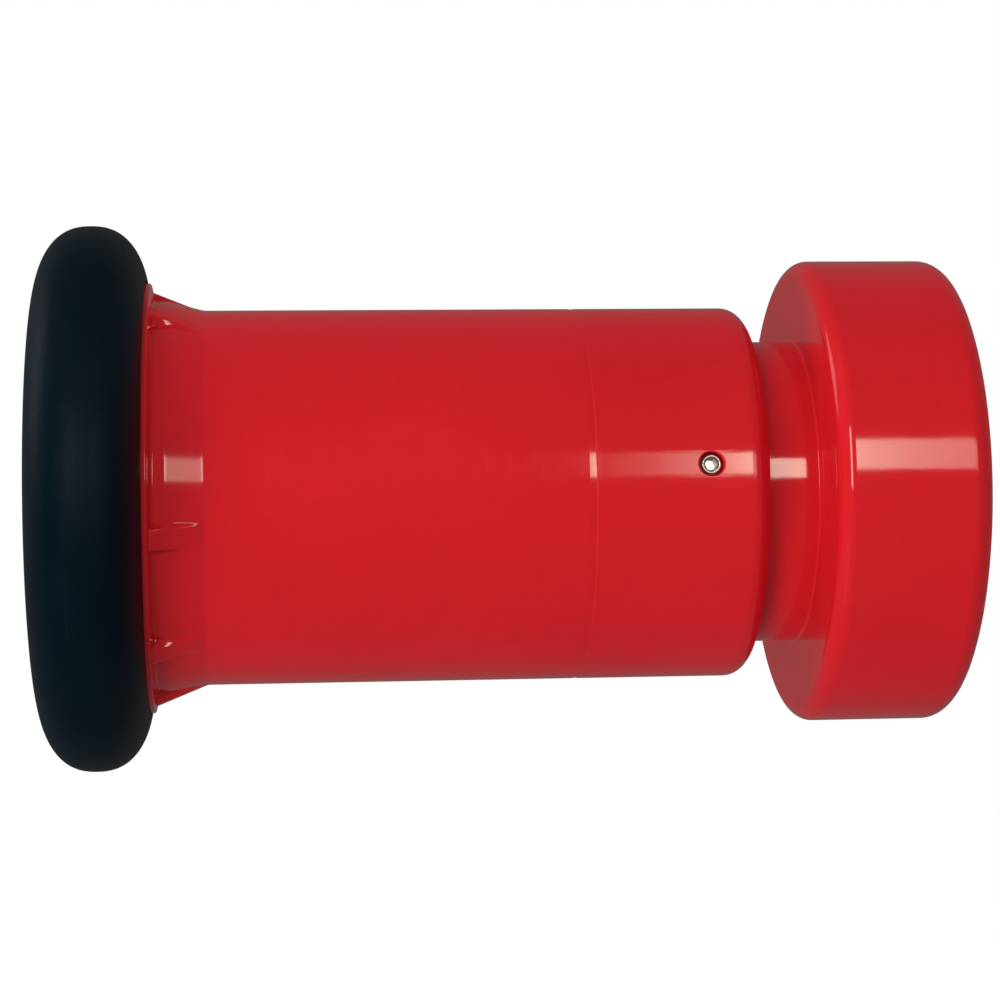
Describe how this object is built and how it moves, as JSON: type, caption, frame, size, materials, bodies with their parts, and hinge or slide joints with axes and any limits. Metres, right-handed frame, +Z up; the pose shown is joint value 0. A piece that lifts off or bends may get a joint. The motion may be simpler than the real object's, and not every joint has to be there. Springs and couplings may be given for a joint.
{
  "type": "fire hose nozzle",
  "caption": "Hand-held fog nozzle for a fire hose: a red barrel twists along a fixed tube behind a fixed baffle, with a black rubber bumper and a threaded inlet.",
  "frame": {"origin": "on the nozzle's axis, at the inlet face of the hose coupling", "axes": "+X along the nozzle's axis, from the outlet out of the inlet towards the hose; +Z up; the cam screw that faces -Y sits a little above the middle"},
  "size_m": [0.1294, 0.077, 0.077],
  "materials": {
    "red_polycarbonate": "glossy moulded plastic",
    "bumper_rubber": "satin black rubber",
    "seal_rubber": "matte black rubber",
    "stainless_steel": "plain turned steel",
    "white_nylon": "plain white nylon"
  },
  "bodies": {
    "base": {"inlet_body": "red_polycarbonate", "inlet_gasket": "seal_rubber", "stem_spider": "red_polycarbonate", "spider_snap_ring": "stainless_steel", "baffle_stem": "red_polycarbonate", "baffle_head": "red_polycarbonate", "baffle_seal": "seal_rubber", "baffle_bolt": "stainless_steel", "baffle_washer": "stainless_steel", "stem_washer": "stainless_steel", "stem_lock_nut": "stainless_steel", "nut_nylon_ring": "white_nylon", "front_o_ring": "seal_rubber", "rear_o_ring": "seal_rubber"},
    "ring": {"friction_ring": "seal_rubber"},
    "sleeve": {"barrel": "red_polycarbonate", "bumper": "bumper_rubber", "cam_screw_1": "stainless_steel", "cam_screw_2": "stainless_steel", "cam_screw_3": "stainless_steel"}
  },
  "joints": [
    {"name": "barrel_travel", "type": "slide", "parent": "base", "child": "ring", "axis": [-1, 0, 0], "range_m": [0, 0.015]},
    {"name": "barrel_twist", "type": "hinge", "parent": "ring", "child": "sleeve", "pos_m": [0, 0, 0], "axis": [-1, 0, 0], "range_deg": [0, 270]}
  ],
  "couplings": [
    {"joint": "barrel_travel", "follows": "barrel_twist", "m_per_rad": 0.0031831}
  ]
}
